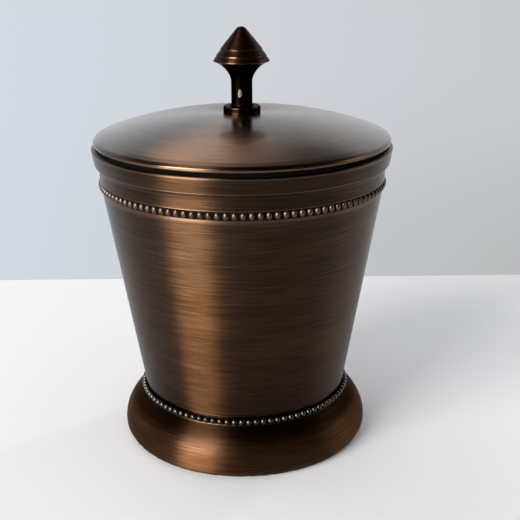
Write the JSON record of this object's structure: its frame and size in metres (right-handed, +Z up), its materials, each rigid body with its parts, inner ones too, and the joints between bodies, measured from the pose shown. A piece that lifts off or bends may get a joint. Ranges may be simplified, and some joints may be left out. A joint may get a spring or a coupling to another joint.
{
  "type": "candle tin",
  "caption": "Tapered spun-metal candle cup on a bell foot, with beaded trim, a lift-off domed lid, a sealing ring and a turned knob.",
  "frame": {"origin": "on the axis, at the underside of the felt pad", "axes": "+Z up along the axis of the tin; the tin is round, so +X and +Y are free"},
  "size_m": [0.1, 0.1, 0.1403],
  "materials": {
    "bronze_body": "antique bronze lacquer, brushed round the axis",
    "bronze_beads": "antique bronze lacquer, polished beads with dark gaps",
    "bronze_foot": "antique bronze lacquer, glossy, lightly brushed",
    "bronze_lid": "antique bronze lacquer, satin, brushed round the axis",
    "bronze_finial": "antique bronze lacquer, turned and polished",
    "plate_steel": "plain sheet",
    "screw_steel": "zinc plated",
    "black_felt": "pressed felt",
    "black_rubber": "matt silicone rubber"
  },
  "bodies": {
    "cup": {"cup_body": "bronze_body", "upper_bead_ring": "bronze_beads", "lower_bead_ring": "bronze_beads", "foot": "bronze_foot", "base_plate": "plate_steel", "felt_pad": "black_felt"},
    "seal": {"lid_seal": "black_rubber"},
    "lid": {"lid_dome": "bronze_lid", "lid_flange": "bronze_lid", "finial": "bronze_finial", "finial_screw": "screw_steel", "finial_washer": "screw_steel"}
  },
  "joints": [
    {"name": "lid_lift", "type": "slide", "parent": "cup", "child": "seal", "axis": [0, 0, 1], "range_m": [0, 0.12]},
    {"name": "lid_turn", "type": "hinge", "parent": "seal", "child": "lid", "pos_m": [0, 0, 0.1021], "axis": [0, 0, 1], "continuous": true}
  ]
}
